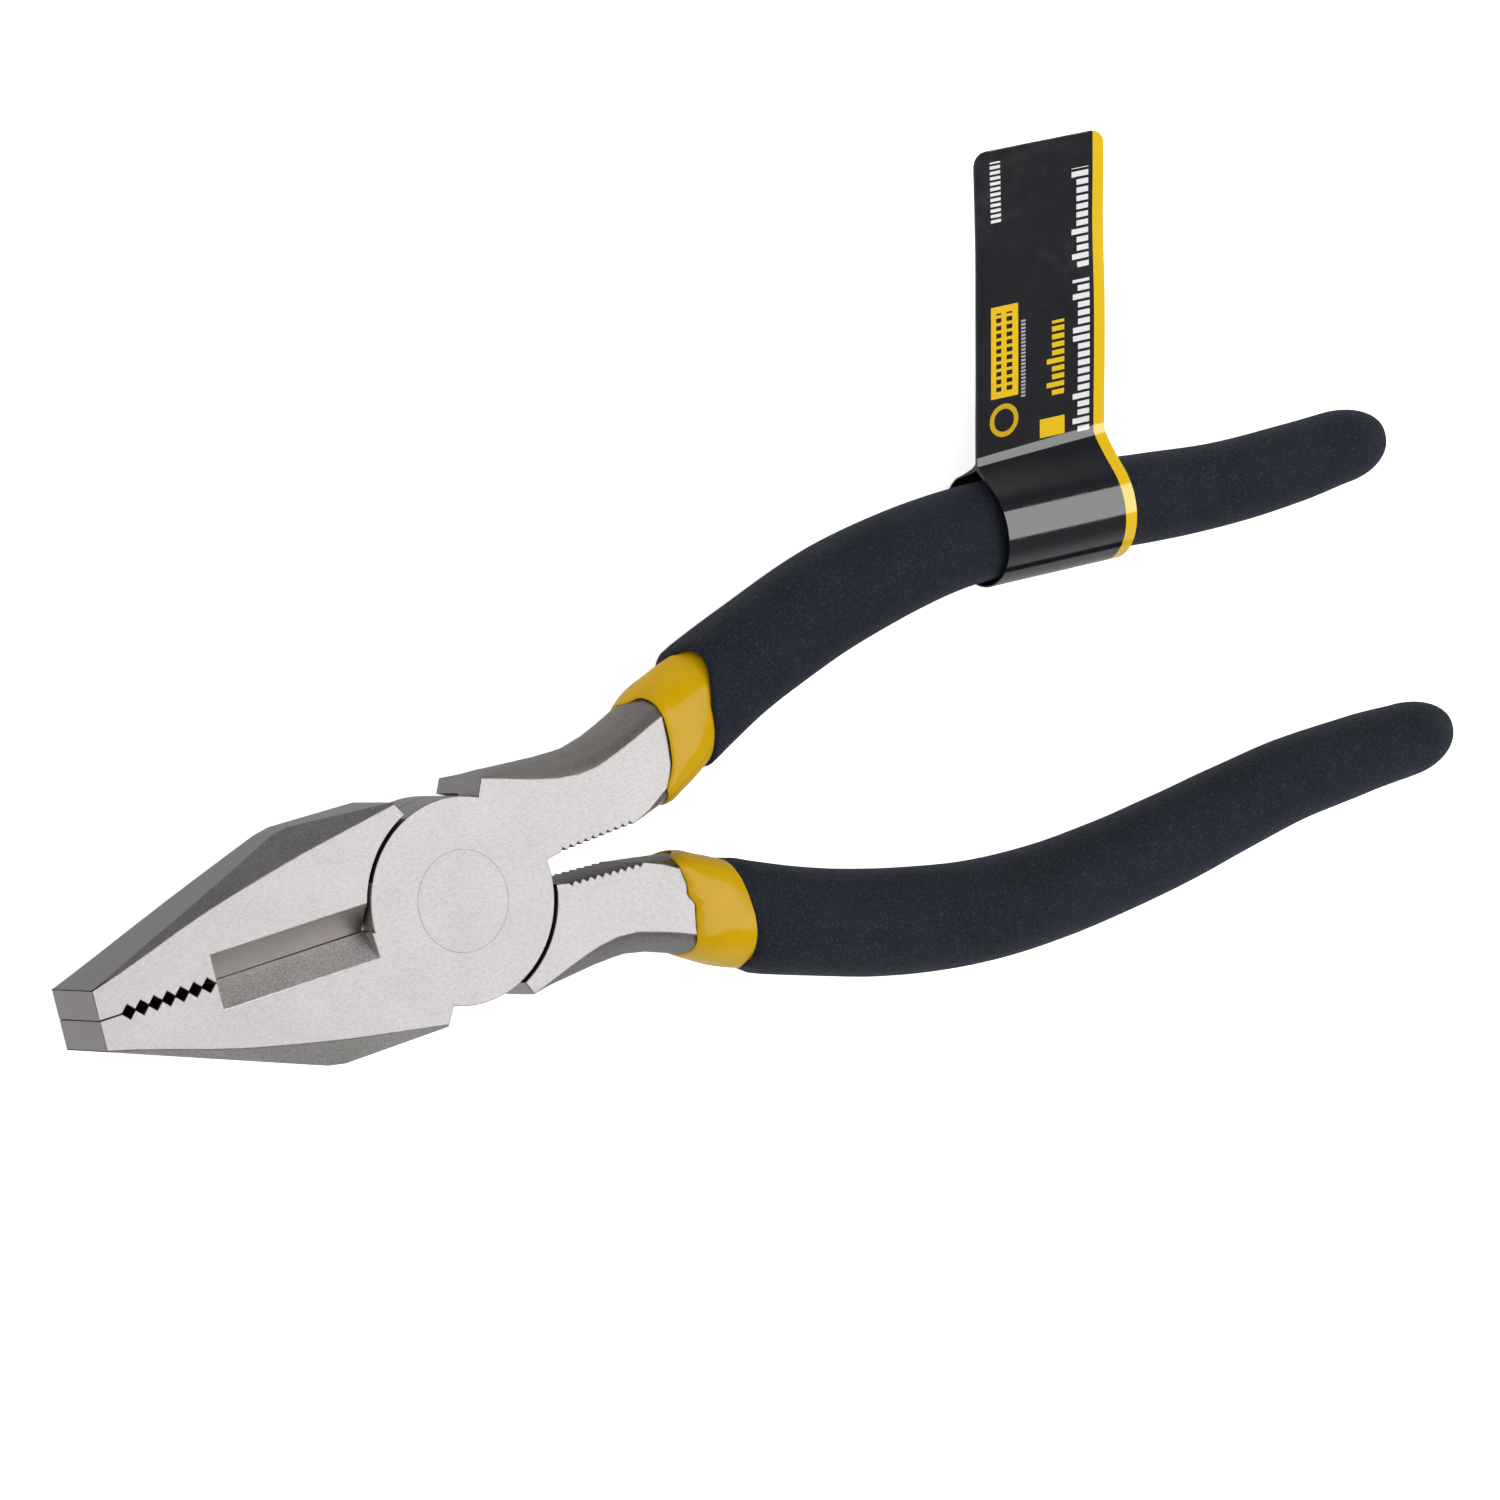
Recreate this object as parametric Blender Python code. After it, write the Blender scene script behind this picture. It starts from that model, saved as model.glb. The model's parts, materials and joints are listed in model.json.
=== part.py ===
"""Lineman pliers, 180 mm class, with dipped grips and a film hang tag.

Frame: +X runs from the rivet towards the handle ends, +Y towards the handle that carries the
tag, +Z out of the joint face that shows the front boss. The origin is the centre of the lower
joint face, on the rivet's axis. The jaws are closed.

The two steel halves are one forging: the rear half is the front half turned 180 degrees about
the X axis at mid thickness. So everything below is modelled for the front half, with Z measured
from mid thickness, and hung from an empty that places it. All sizes are in metres.
"""
from math import cos, pi, radians, sin, sqrt

import bmesh
import bpy
from mathutils import Vector

MM = 0.001

# ---- driving dimensions -------------------------------------------------------------------
THICKNESS = 9.5 * MM            # ground faces of the head
HALF_THICKNESS = THICKNESS / 2
CLEARANCE = 0.3 * MM            # between neighbouring pieces

TIP_X = -45.5 * MM              # blunt end of the jaws
HANDLE_END_X = 134.5 * MM       # rounded ends of the grips
JOINT_RADIUS = 11.35 * MM       # the round boss of each half
JOINT_GAP = 0.4 * MM            # dark arc between a boss and the other half

SHANK_RADIUS = 3.9 * MM         # rivet
RIVET_HEAD_RADIUS = 5.3 * MM
RIVET_HEAD_DEPTH = 1.6 * MM

TOOTH_COUNT = 7                 # V grooves of the flat jaws
TOOTH_PITCH = 1.64 * MM
TOOTH_DEPTH = 0.66 * MM
FIRST_TOOTH_X = -41.9 * MM

CUTTER_START_X = -31.0 * MM     # side cutter, as an opening in the ground face
CUTTER_END_X = -11.5 * MM
CUTTER_HALF_WIDTH = 3.05 * MM
CUTTER_END_TURN = 0.07          # slant of the groove's rear wall, following the round boss behind it
CUTTER_OVERRUN = 0.5 * MM       # how far the groove runs out into the recess
KNIFE_RISE = 2.6 * MM           # cutting edges above mid thickness, nearer the front face

ARM_TOOTH_COUNT = 10            # fine grooves between the arms
ARM_TOOTH_PITCH = 0.98 * MM
ARM_TOOTH_DEPTH = 0.4 * MM
ARM_FIRST_TOOTH_X = 13.5 * MM

COLLAR_X = {"front": 28.6 * MM, "rear": 27.4 * MM}  # front edge of each dip coat
GRIP_X = 34.6 * MM              # front edge of the outer grip
GRIP_WALL = 1.1 * MM
DIP_WALL = 0.8 * MM
GRIP_ROUND_START_X = 127.5 * MM # where the rounded handle end begins

TAG_WIDTH = 17.5 * MM
FILM = 0.4 * MM                 # one leaf of the tag's film
LOOP_RADIUS = 6.2 * MM          # inside of the loop round the grip
FLAG_LENGTH = 35.5 * MM
FLAG_CORNER = 1.5 * MM
TAG_X = 86.2 * MM               # middle of the loop along the grip
TAG_Y = 20.3 * MM
TAG_YAW = radians(-4)           # the grip's own slope there
TAG_LIFT = radians(17)          # the flag stands up a little from the pliers' plane
LOOP_TANGENT = radians(38)      # where the loop's film leaves the circle

# ---- outlines, as (x, y) keys in millimetres ------------------------------------------------
FACE_EDGE = ((-45.5, 3.3), (-41.9, 4.2), (-36.4, 5.8), (-31.0, 7.4), (-18.2, 10.2), (-9.1, 11.7), (-5.3, 12.35))
FLANK_EDGE = ((-45.5, 3.35), (-19.2, 12.85), (-17.2, 13.2), (-5.3, 12.6))
JAW_ROOT = (-4.2, 10.7)
SHOULDER = (4.9, 10.5)

ARM_FACE_OUTER = ((5.75, 12.2), (7.3, 11.75), (10.9, 10.6), (14.6, 9.55), (17.5, 9.15), (20.3, 9.4), (28.6, 12.1))
ARM_MID_OUTER = ((5.75, 12.3), (9.1, 12.35), (12.6, 12.15), (17.1, 11.9), (20.7, 12.3), (26.5, 14.2), (28.6, 15.1))
ARM_FACE_INNER = ((4.9, 1.2), (11.3, 1.4), (12.8, 1.7), (22.9, 2.2), (25.0, 3.0), (28.6, 5.2))
ARM_MID_INNER = ((4.9, 1.2), (11.3, 1.4), (12.8, 1.7), (22.9, 2.2), (26.5, 2.35), (28.6, 2.8))

HANDLE_CENTRE = (
    (27.5, 8.5), (31, 10.0), (36, 12.1), (42, 14.45), (51.4, 17.4), (60.7, 19.5), (70, 20.6), (75, 20.75),
    (84.5, 20.4), (94, 19.55), (103, 18.4), (112.6, 17.5), (122, 17.4), (134.5, 17.75),
)
GRIP_HALF_WIDTH = (
    (27.5, 6.5), (31, 6.6), (36, 6.8), (42, 6.55), (51.4, 6.4), (60.7, 6.2), (70, 5.83), (84.5, 5.57),
    (94, 5.45), (103, 5.2), (112.6, 4.9), (122, 4.65), (127.5, 4.4),
)
GRIP_HALF_HEIGHT = ((27.5, 5.25), (60, 5.3), (90, 5.05), (120, 4.6), (127.5, 4.35))
GRIP_SQUARENESS = ((27.5, 3.3), (32, 3.1), (45, 2.4), (134.5, 2.25))   # superellipse power, not a length


# ---- helpers ----------------------------------------------------------------------------------
def through(keys):
    """Return y(x), a smooth curve through (x, y) keys given in millimetres."""
    xs = [key[0] * MM for key in keys]
    ys = [key[1] * MM for key in keys]
    last = len(xs) - 1
    slopes = []
    for i in range(last + 1):
        before = max(i - 1, 0)
        after = min(i + 1, last)
        slopes.append((ys[after] - ys[before]) / (xs[after] - xs[before]))

    def value(x):
        x = min(max(x, xs[0]), xs[last])
        i = 0
        while i < last - 1 and x > xs[i + 1]:
            i += 1
        span = xs[i + 1] - xs[i]
        t = (x - xs[i]) / span
        return (
            (1 + 2 * t) * (1 - t) ** 2 * ys[i]
            + t * (1 - t) ** 2 * span * slopes[i]
            + t * t * (3 - 2 * t) * ys[i + 1]
            + t * t * (t - 1) * span * slopes[i + 1]
        )

    return value


def straight(keys):
    """Return y(x) as straight runs between keys in millimetres."""
    points = [(key[0] * MM, key[1] * MM) for key in keys]

    def value(x):
        for (x0, y0), (x1, y1) in zip(points, points[1:]):
            if x <= x1:
                return y0 + (y1 - y0) * (x - x0) / (x1 - x0)
        return points[-1][1]

    return value


def clear_scene():
    for obj in list(bpy.data.objects):
        bpy.data.objects.remove(obj, do_unlink=True)


def material(name, colour, roughness, metallic):
    made = bpy.data.materials.new(name)
    made.use_nodes = True
    shader = made.node_tree.nodes["Principled BSDF"]
    shader.inputs["Base Color"].default_value = (*colour, 1)
    shader.inputs["Roughness"].default_value = roughness
    shader.inputs["Metallic"].default_value = metallic
    return made


def finish_mesh(name, bm, parent, surface=None, smooth_angle=None):
    """Turn a bmesh into an object whose faces point outwards."""
    bmesh.ops.recalc_face_normals(bm, faces=bm.faces)
    mesh = bpy.data.meshes.new(name)
    bm.to_mesh(mesh)
    bm.free()
    if surface:
        mesh.materials.append(surface)
    if smooth_angle:
        mesh.shade_smooth()
        mesh.set_sharp_from_angle(angle=smooth_angle)
    obj = bpy.data.objects.new(name, mesh)
    bpy.context.collection.objects.link(obj)
    obj.parent = parent
    return obj


def add_loft(bm, rings):
    """Skin a list of rings that have equal numbers of points, and close both ends."""
    rows = [[bm.verts.new(point) for point in ring] for ring in rings]
    count = len(rows[0])
    for near, far in zip(rows, rows[1:]):
        for i in range(count):
            j = (i + 1) % count
            bm.faces.new((near[i], near[j], far[j], far[i]))
    bm.faces.new(rows[0][::-1])
    bm.faces.new(rows[-1])


def add_prism(bm, outline, low, high):
    """Raise a closed (x, y) outline from z = low to z = high."""
    add_loft(bm, [[Vector((x, y, z)) for x, y in outline] for z in (low, high)])


def cut(target, cutter, operation="DIFFERENCE"):
    """Join or cut target with a hidden guide object."""
    cutter.hide_render = True
    cutter.display_type = "WIRE"
    boolean = target.modifiers.new(cutter.name, "BOOLEAN")
    boolean.operation = operation
    boolean.solver = "EXACT"
    boolean.object = cutter


def placement(name, location, rotation=(0, 0, 0), parent=None):
    empty = bpy.data.objects.new(name, None)
    bpy.context.collection.objects.link(empty)
    empty.location = location
    empty.rotation_euler = rotation
    empty.parent = parent
    return empty


def circle(radius, count):
    return [(radius * cos(2 * pi * i / count), radius * sin(2 * pi * i / count)) for i in range(count)]


# ---- steel half ---------------------------------------------------------------------------------
def add_jaw(bm):
    """Lower jaw: flat seam side, ground faces, and a flank with a chamfer that grows to its peak."""
    face_edge = through(FACE_EDGE)
    flank_edge = straight(FLANK_EDGE)
    stations = [TIP_X / MM, -42, -38, -34, -30, -26, -22, -19.2, -17.2, -13, -9, -5.3]
    rings = []
    for station in stations:
        x = station * MM
        face = face_edge(x)
        flank = max(flank_edge(x), face)
        level = HALF_THICKNESS - 0.93 * (flank - face)
        seam = CLEARANCE / 2 + 0.15 * MM * min(max((station + 22) / 10, 0), 1)
        rings.append(jaw_ring(x, seam, face, flank, level))
    root_x, root_y = (value * MM for value in JAW_ROOT)
    rings.append(jaw_ring(root_x, CLEARANCE, root_y, root_y, HALF_THICKNESS))
    add_loft(bm, rings)


def jaw_ring(x, seam, face, flank, level):
    top = HALF_THICKNESS
    outline = ((seam, -top), (face, -top), (flank, -level), (flank, level), (face, top), (seam, top))
    return [Vector((x, -y, z)) for y, z in outline]


def handle_ring(x, face_inner, face_outer, mid_inner, mid_outer, height, steps=6):
    """Two flat faces joined by an outer and an inner bulge, in the plane X = x."""
    ring = []
    for i in range(steps + 1):
        angle = -pi / 2 + pi * i / steps
        ring.append(Vector((x, face_outer + (mid_outer - face_outer) * cos(angle), height * sin(angle))))
    for i in range(steps + 1):
        angle = pi / 2 - pi * i / steps
        ring.append(Vector((x, face_inner - (face_inner - mid_inner) * cos(angle), height * sin(angle))))
    return ring


def add_arm_and_tang(bm, collar_x):
    """Arm from the shoulder at the boss to the dip coat, and the tang hidden in the grip."""
    face_outer = through(ARM_FACE_OUTER)
    mid_outer = through(ARM_MID_OUTER)
    face_inner = straight(ARM_FACE_INNER)
    mid_inner = straight(ARM_MID_INNER)
    shoulder_x, shoulder_y = (value * MM for value in SHOULDER)
    inner = face_inner(shoulder_x)
    rings = [handle_ring(shoulder_x, inner, shoulder_y, inner, shoulder_y, HALF_THICKNESS)]
    last_bare = (collar_x - 0.6 * MM) / MM
    for station in (5.75, 7.3, 9, 11.3, 12.8, 15, 17.5, 20, 22.9, 25, last_bare):
        x = station * MM
        outer = face_outer(x)
        bulge = max(mid_outer(x), outer)
        rings.append(handle_ring(x, face_inner(x), outer, mid_inner(x), bulge, HALF_THICKNESS))
    centre = through(HANDLE_CENTRE)
    for x, half_width, height in tang_stations(collar_x):
        middle = centre(x)
        flat = 0.4 * half_width
        rings.append(handle_ring(x, middle - flat, middle + flat, middle - half_width, middle + half_width, height))
    add_loft(bm, rings)


def tang_stations(collar_x):
    """(x, half width, half height) of the steel inside the dip coat."""
    near = [(30.5, 5.35, 4.1), (32.5, 4.8, 3.6), (34.5, 4.1, 3.0)]
    rows = [(collar_x - 0.2 * MM, 5.7 * MM, 4.35 * MM)]
    rows += [(x * MM, width * MM, height * MM) for x, width, height in near]
    depth = GRIP_WALL + DIP_WALL + 2 * CLEARANCE
    half_width = through(GRIP_HALF_WIDTH)
    half_height = through(GRIP_HALF_HEIGHT)
    for station in (38, 45, 52, 60, 68, 76, 85, 94, 104, 114, 124):
        x = station * MM
        rows.append((x, half_width(x) - depth - 0.15 * MM, half_height(x) - depth - 0.1 * MM))
    width, height = rows[-1][1:]
    rows.append((128 * MM, 0.8 * width, 0.8 * height))
    rows.append((130 * MM, 0.45 * width, 0.45 * height))
    return rows


def add_grooves(bm, first_x, pitch, count, base, depth, half_width):
    """V grooves across a gripping side: base(x) is the side's y, and depth is towards the metal."""
    reach = HALF_THICKNESS + CLEARANCE
    overhang = 0.25 * abs(depth) * (1 if depth > 0 else -1)
    for i in range(count):
        x = first_x + i * pitch
        y = base(x)
        wide = half_width * 1.25
        add_prism(bm, [(x - wide, y - overhang), (x + wide, y - overhang), (x, y + depth)], -reach, reach)


def add_cutter_bevel(bm, side, knife_z):
    """Wedge that bevels the jaw from one face (side 1 is the boss's face) down to the cutting edge."""
    above = 2 * MM
    face = side * HALF_THICKNESS
    beyond = side * MM
    edge = knife_z + side * 0.05 * MM
    seam = CLEARANCE
    slope = (CUTTER_HALF_WIDTH - seam) / abs(face - edge)
    wide = CUTTER_HALF_WIDTH + slope * MM
    profile = ((above, edge), (-seam, edge), (-wide, face + beyond), (above, face + beyond))
    front = [Vector((CUTTER_START_X, y, z)) for y, z in profile]
    if side > 0:
        rear = [Vector((CUTTER_END_X - CUTTER_END_TURN * (y + CUTTER_HALF_WIDTH), y, z)) for y, z in profile]
    else:
        rear = [Vector((CUTTER_END_X + CUTTER_OVERRUN, y, z)) for y, z in profile]
    add_loft(bm, [front, rear])


def make_steel_half(name, parent, surface, collar_x, knife_z):
    bm = bmesh.new()
    add_jaw(bm)
    half = finish_mesh(name, bm, parent, surface)

    bm = bmesh.new()
    add_arm_and_tang(bm, collar_x)
    cut(half, finish_mesh(name + "_arm_guide", bm, parent), "UNION")

    bm = bmesh.new()
    add_prism(bm, circle(JOINT_RADIUS, 96), -1 * MM, HALF_THICKNESS)
    cut(half, finish_mesh(name + "_boss_guide", bm, parent), "UNION")

    bm = bmesh.new()
    add_prism(bm, circle(JOINT_RADIUS + JOINT_GAP, 96), -HALF_THICKNESS - MM, CLEARANCE / 2)
    cut(half, finish_mesh(name + "_recess_cutter", bm, parent))

    bm = bmesh.new()
    add_rivet_solid(bm, CLEARANCE)
    cut(half, finish_mesh(name + "_rivet_cutter", bm, parent))

    for label, side in (("boss", 1), ("recess", -1)):
        bm = bmesh.new()
        add_cutter_bevel(bm, side, knife_z)
        cut(half, finish_mesh(f"{name}_{label}_bevel_cutter", bm, parent))

    bm = bmesh.new()
    seam = CLEARANCE / 2
    add_grooves(bm, FIRST_TOOTH_X, TOOTH_PITCH, TOOTH_COUNT, lambda x: -seam, -TOOTH_DEPTH, TOOTH_PITCH * 0.49)
    add_grooves(
        bm, ARM_FIRST_TOOTH_X, ARM_TOOTH_PITCH, ARM_TOOTH_COUNT, straight(ARM_FACE_INNER), ARM_TOOTH_DEPTH,
        ARM_TOOTH_PITCH * 0.36,
    )
    cut(half, finish_mesh(name + "_groove_cutter", bm, parent))
    return half


# ---- rivet --------------------------------------------------------------------------------------
def add_rivet_solid(bm, grow=0.0):
    """Turned solid: a shank with a countersunk head at each ground face."""
    end = HALF_THICKNESS + (MM if grow else 0)
    head = RIVET_HEAD_RADIUS + grow
    shank = SHANK_RADIUS + grow
    neck = HALF_THICKNESS - RIVET_HEAD_DEPTH
    profile = [(head, -end), (head, -HALF_THICKNESS), (shank, -neck), (shank, neck), (head, HALF_THICKNESS), (head, end)]
    if not grow:
        profile = profile[1:-1]
    add_loft(bm, [[Vector((x, y, z)) for x, y in circle(radius, 48)] for radius, z in profile])


# ---- grips --------------------------------------------------------------------------------------
def oval_ring(x, centre, half_width, half_height, count=18):
    """Rounded-square ring in the plane X = x."""
    power = straight(GRIP_SQUARENESS)(x) / MM
    ring = []
    for i in range(count):
        angle = 2 * pi * (i + 0.5) / count
        across = abs(cos(angle)) ** (2 / power) * (1 if cos(angle) > 0 else -1)
        up = abs(sin(angle)) ** (2 / power) * (1 if sin(angle) > 0 else -1)
        ring.append(Vector((x, centre + half_width * across, half_height * up)))
    return ring


def end_scale(x, inset):
    """Shrink of a section in the rounded handle end; inset is the depth below the grip's surface."""
    length = HANDLE_END_X - inset - GRIP_ROUND_START_X
    along = min(max((x - GRIP_ROUND_START_X) / length, 0), 0.985)
    return sqrt(1 - along * along)


def sleeve_stations(start, inset):
    length = HANDLE_END_X - inset - GRIP_ROUND_START_X
    stations = [start * MM]
    stations += [s * MM for s in (38, 44, 51, 58, 66, 74, 83, 92, 101, 111, 121) if s > start + 1.5]
    stations += [GRIP_ROUND_START_X + length * sin(radians(a)) for a in (0, 30, 52, 68, 80)]
    return stations


def sleeve_rings(start, inset, extra=()):
    """Rings at a depth below the grip's outer surface, from start to the handle end."""
    centre = through(HANDLE_CENTRE)
    half_width = through(GRIP_HALF_WIDTH)
    half_height = through(GRIP_HALF_HEIGHT)
    rings = [oval_ring(x * MM, centre(x * MM), width * MM, height * MM) for x, width, height in extra]
    for x in sleeve_stations(start, inset):
        shrink = end_scale(x, inset)
        width = (half_width(x) - inset) * shrink
        height = (half_height(x) - inset) * shrink
        rings.append(oval_ring(x, centre(x), width, height))
    return rings


def add_sleeve(bm, outer, inner):
    """A sock: an outer skin and an inner skin, joined round the open front end."""
    outer_rows = [[bm.verts.new(point) for point in ring] for ring in outer]
    inner_rows = [[bm.verts.new(point) for point in ring] for ring in inner]
    count = len(outer_rows[0])
    for rows in (outer_rows, inner_rows):
        for near, far in zip(rows, rows[1:]):
            for i in range(count):
                j = (i + 1) % count
                bm.faces.new((near[i], near[j], far[j], far[i]))
        bm.faces.new(rows[-1])
    for i in range(count):
        j = (i + 1) % count
        bm.faces.new((outer_rows[0][j], outer_rows[0][i], inner_rows[0][i], inner_rows[0][j]))


def make_grip(name, parent, surface):
    lip = ((GRIP_X / MM, 6.45, 5.0),)
    outer = sleeve_rings(35.4, 0, lip)
    inner = sleeve_rings(GRIP_X / MM, GRIP_WALL)
    bm = bmesh.new()
    add_sleeve(bm, outer, inner)
    return finish_mesh(name, bm, parent, surface, radians(40))


def make_dip_coat(name, parent, surface, collar_x):
    edge = collar_x / MM
    collar_outside = ((edge, 6.45, 5.15), (edge + 0.6, 6.55, 5.22), (31, 6.55, 5.2), (33.8, 6.4, 5.0), (34.3, 5.3, 3.85))
    collar_inside = ((edge, 6.15, 4.82), (30.5, 5.8, 4.55), (32.5, 5.25, 4.05))
    depth = GRIP_WALL + CLEARANCE
    outer = sleeve_rings(35.2, depth, collar_outside)
    inner = sleeve_rings(35.2, depth + DIP_WALL, collar_inside)
    bm = bmesh.new()
    add_sleeve(bm, outer, inner)
    return finish_mesh(name, bm, parent, surface, radians(40))


# ---- hang tag -----------------------------------------------------------------------------------
def make_tag_loop(parent, surface):
    """Film band round the grip, drawn in to an edge where the two leaves meet (local +Y)."""
    count = 40
    inner = []
    outer = []
    for i in range(count):
        angle = 2 * pi * i / count
        away = min(angle, 2 * pi - angle)
        reach = 1 / cos(LOOP_TANGENT - away) if away < LOOP_TANGENT else 1
        across, up = cos(angle), sin(angle)
        inner.append((LOOP_RADIUS * reach * across, LOOP_RADIUS * reach * up))
        outer.append(((LOOP_RADIUS + FILM) * reach * across, (LOOP_RADIUS + FILM) * reach * up))
    bm = bmesh.new()
    side = TAG_WIDTH / 2
    rows = []
    for outline, x in ((outer, -side), (outer, side), (inner, side), (inner, -side)):
        rows.append([bm.verts.new(Vector((x, y, z))) for y, z in outline])
    for near, far in zip(rows, rows[1:] + rows[:1]):
        for i in range(count):
            j = (i + 1) % count
            bm.faces.new((near[i], near[j], far[j], far[i]))
    return finish_mesh("tag_loop", bm, parent, surface, radians(30))


def make_tag_flag(parent, surface):
    """The two glued leaves, a plate with rounded outer corners, starting at the fold (local +Y)."""
    side = TAG_WIDTH / 2
    outline = [(-side, CLEARANCE / 2), (side, CLEARANCE / 2)]
    for middle_x, start in ((side - FLAG_CORNER, 0), (-side + FLAG_CORNER, 90)):
        for angle in (0, 30, 60, 90):
            turn = radians(start + angle)
            outline.append((middle_x + FLAG_CORNER * cos(turn), FLAG_LENGTH - FLAG_CORNER * (1 - sin(turn))))
    bm = bmesh.new()
    add_prism(bm, outline, -FILM, FILM)
    return finish_mesh("tag_flag", bm, parent, surface)


# ---- assembly -----------------------------------------------------------------------------------
def build():
    clear_scene()
    steel = material("ground_steel", (0.76, 0.74, 0.73), 0.3, 1.0)
    rivet_steel = material("rivet_steel", (0.74, 0.72, 0.71), 0.28, 1.0)
    yellow = material("yellow_dip", (0.66, 0.4, 0.01), 0.25, 0.0)
    black = material("black_grip", (0.018, 0.02, 0.028), 0.75, 0.0)
    film = material("black_film", (0.03, 0.03, 0.036), 0.15, 0.0)

    pivot = Vector((0, 0, HALF_THICKNESS))
    halves = {"front": placement("front_half_pivot", pivot), "rear": placement("rear_half_pivot", pivot, (pi, 0, 0))}
    knife_z = {"front": KNIFE_RISE, "rear": -KNIFE_RISE}
    for name, frame in halves.items():
        make_steel_half(name + "_half", frame, steel, COLLAR_X[name], knife_z[name])
        make_dip_coat(name + "_dip_coat", frame, yellow, COLLAR_X[name])
        make_grip(name + "_grip", frame, black)

    bm = bmesh.new()
    add_rivet_solid(bm)
    finish_mesh("pivot_rivet", bm, halves["front"], rivet_steel, radians(30))

    swing = placement("tag_swing_axis", (TAG_X, TAG_Y, 0), (TAG_LIFT, 0, TAG_YAW), halves["front"])
    make_tag_loop(swing, film)
    fold_distance = (LOOP_RADIUS + FILM) / cos(LOOP_TANGENT) + CLEARANCE / 2
    fold = placement("tag_fold_axis", (0, fold_distance, 0), parent=swing)
    make_tag_flag(fold, film)


build()
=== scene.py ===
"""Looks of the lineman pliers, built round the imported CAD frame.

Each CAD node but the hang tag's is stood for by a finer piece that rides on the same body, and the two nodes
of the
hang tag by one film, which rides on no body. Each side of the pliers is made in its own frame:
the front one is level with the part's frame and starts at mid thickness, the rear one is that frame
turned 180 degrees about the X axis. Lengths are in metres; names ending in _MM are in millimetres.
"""
import json
from math import atan2, cos, exp, pi, radians, sin, sqrt, tau

import bmesh
import bpy
import numpy as np
from mathutils import Matrix, Vector, noise


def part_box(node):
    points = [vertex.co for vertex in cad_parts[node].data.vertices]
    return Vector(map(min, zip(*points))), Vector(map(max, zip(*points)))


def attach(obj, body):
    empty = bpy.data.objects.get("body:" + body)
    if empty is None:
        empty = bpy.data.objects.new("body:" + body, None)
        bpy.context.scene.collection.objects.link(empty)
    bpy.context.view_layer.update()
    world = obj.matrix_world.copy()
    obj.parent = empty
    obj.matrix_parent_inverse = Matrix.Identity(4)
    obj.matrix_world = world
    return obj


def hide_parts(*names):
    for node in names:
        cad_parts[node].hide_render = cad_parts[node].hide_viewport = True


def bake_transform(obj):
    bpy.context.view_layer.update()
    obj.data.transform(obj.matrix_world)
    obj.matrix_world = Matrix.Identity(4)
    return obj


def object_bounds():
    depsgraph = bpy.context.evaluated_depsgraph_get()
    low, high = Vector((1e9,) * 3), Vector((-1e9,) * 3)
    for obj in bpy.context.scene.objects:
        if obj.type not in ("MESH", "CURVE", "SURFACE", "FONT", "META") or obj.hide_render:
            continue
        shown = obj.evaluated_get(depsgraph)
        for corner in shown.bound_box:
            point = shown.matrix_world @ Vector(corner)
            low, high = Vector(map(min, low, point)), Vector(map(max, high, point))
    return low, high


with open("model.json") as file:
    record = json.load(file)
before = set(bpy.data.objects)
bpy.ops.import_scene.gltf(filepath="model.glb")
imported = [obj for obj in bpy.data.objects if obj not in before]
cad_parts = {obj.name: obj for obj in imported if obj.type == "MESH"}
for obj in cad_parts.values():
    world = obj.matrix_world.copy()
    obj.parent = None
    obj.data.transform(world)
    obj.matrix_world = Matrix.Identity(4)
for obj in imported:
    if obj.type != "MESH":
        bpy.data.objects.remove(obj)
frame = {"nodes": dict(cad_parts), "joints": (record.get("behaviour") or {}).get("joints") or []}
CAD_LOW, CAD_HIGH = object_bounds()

MM = 0.001
CLOSE = 0.01 * MM                 # margins for telling where on the CAD a vertex lies
NEAR = 0.05 * MM

# ---- places and sizes from the frame --------------------------------------------------------
STEEL_LOW, STEEL_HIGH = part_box("front_half")
MID_Z = (STEEL_LOW.z + STEEL_HIGH.z) / 2
HALF_THICKNESS = (STEEL_HIGH.z - STEEL_LOW.z) / 2
HANDLE_END_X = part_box("front_grip")[1].x
JOINTS = {joint["name"]: joint for joint in frame["joints"]}
SIDES = {
    "front": Matrix.Translation((0, 0, MID_Z)),
    "rear": Matrix.Translation((0, 0, MID_Z)) @ Matrix.Rotation(pi, 4, "X"),
}

# ---- camera and light -----------------------------------------------------------------------
CAMERA_TARGET = Vector((42.0 * MM, 5.2 * MM, MID_Z))
CAMERA_DISTANCE = 930.3 * MM
CAMERA_AZIMUTH = radians(-105.0)
CAMERA_ELEVATION = radians(58.9)
CAMERA_ROLL = radians(89.26)
CAMERA_LENS_MM = 201.6
CAMERA_SENSOR_MM = 36.0

LIGHT_TARGET = Vector((40.0 * MM, 5.0 * MM, MID_Z))
FLOOR_SIZE = 5.0
FLOOR_GLOW = 0.75
FLOOR_GAP = 0.02 * MM
BACKDROP_RADIUS = 2.45
# Brightness of the sky from straight down (0) past the horizon (0.5) to straight up (1).
SKY_STOPS = ((0.0, 0.42), (0.3, 0.42), (0.47, 0.5), (0.56, 0.5), (0.75, 0.15), (1.0, 0.15))
SKY_TILT = 0.35                   # brighter towards -Y by this share, darker towards +Y

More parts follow.
